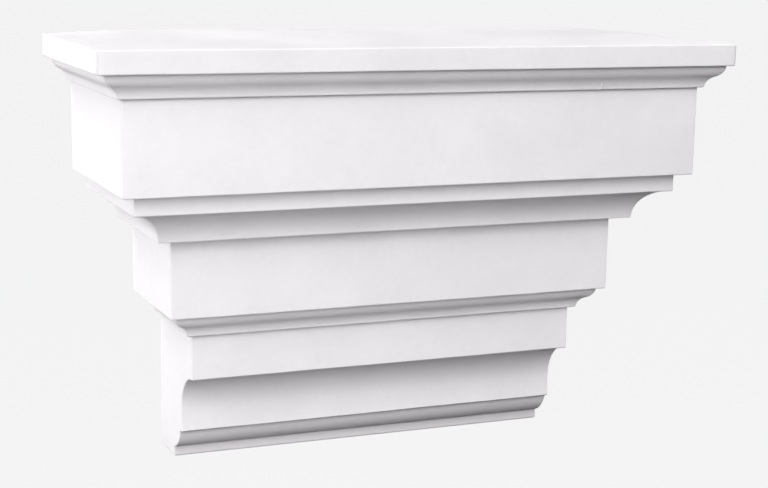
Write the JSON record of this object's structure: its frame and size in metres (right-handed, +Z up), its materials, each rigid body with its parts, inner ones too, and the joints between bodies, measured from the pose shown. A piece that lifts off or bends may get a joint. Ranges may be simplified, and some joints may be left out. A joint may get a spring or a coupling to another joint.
{
  "type": "stone corbel",
  "caption": "Stepped wall corbel with ogee, cavetto and cove mouldings, mitred returns, a low hipped top and a flat back.",
  "frame": {"origin": "on the flat back that meets the wall, centred on the width, halfway between the slab's top arris and the underside of the foot", "axes": "+X along the wall, to the right as seen from the front; +Y into the wall; +Z up"},
  "size_m": [0.45, 0.16, 0.299],
  "materials": {
    "cast_stone": "fine white cast stone, rubbed smooth, faint grain and tiny air holes, softened arrises"
  },
  "bodies": {
    "root": {"corbel": "cast_stone"}
  },
  "joints": []
}
